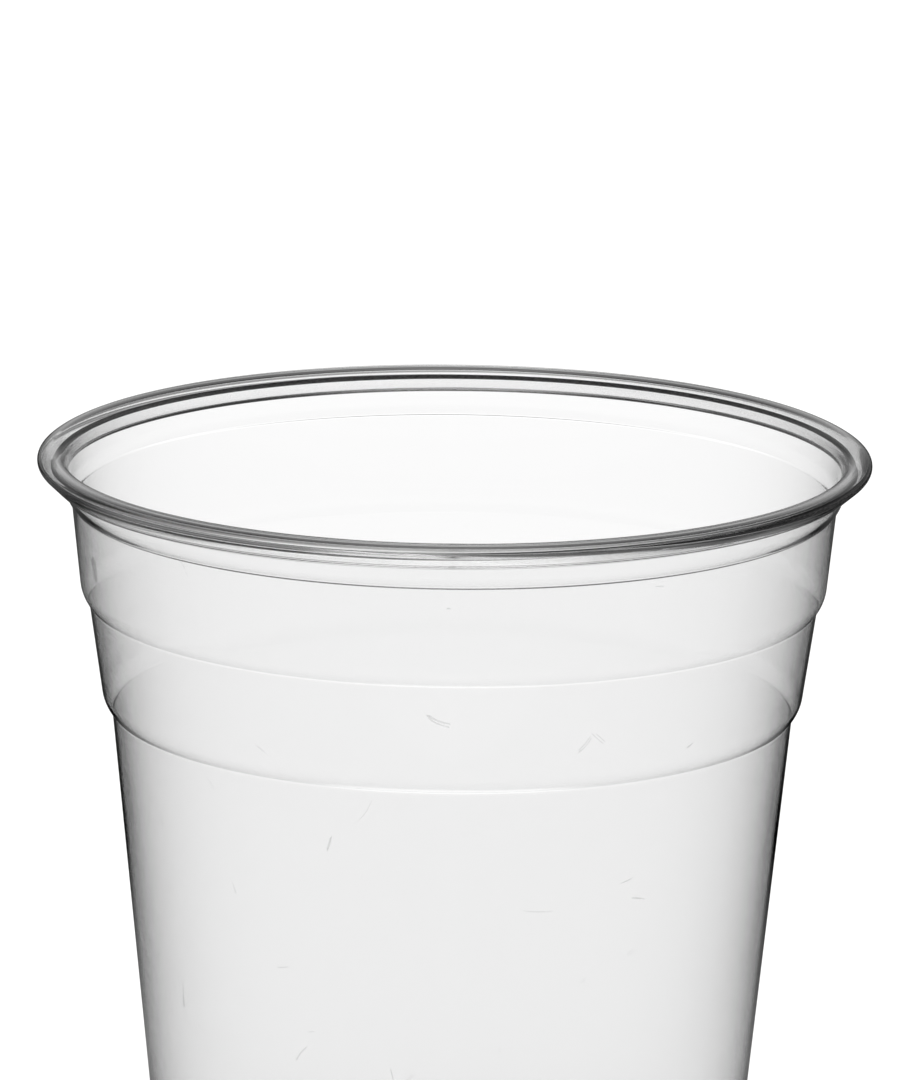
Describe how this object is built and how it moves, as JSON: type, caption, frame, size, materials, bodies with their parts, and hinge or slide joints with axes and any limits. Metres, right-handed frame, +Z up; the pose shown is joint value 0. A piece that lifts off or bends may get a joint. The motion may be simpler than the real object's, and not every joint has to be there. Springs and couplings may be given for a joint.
{
  "type": "disposable cup",
  "caption": "Clear plastic disposable drinking cup with a tapered side, stacking steps, a pinched neck and a hollow rolled lip.",
  "frame": {"origin": "middle of the circle on which the cup stands, on the table", "axes": "+Z up along the cup's axis, out of its mouth"},
  "size_m": [0.098, 0.098, 0.12],
  "materials": {
    "clear_plastic": "clear, glossy, thermoformed"
  },
  "bodies": {
    "root": {"cup": "clear_plastic"}
  },
  "joints": []
}
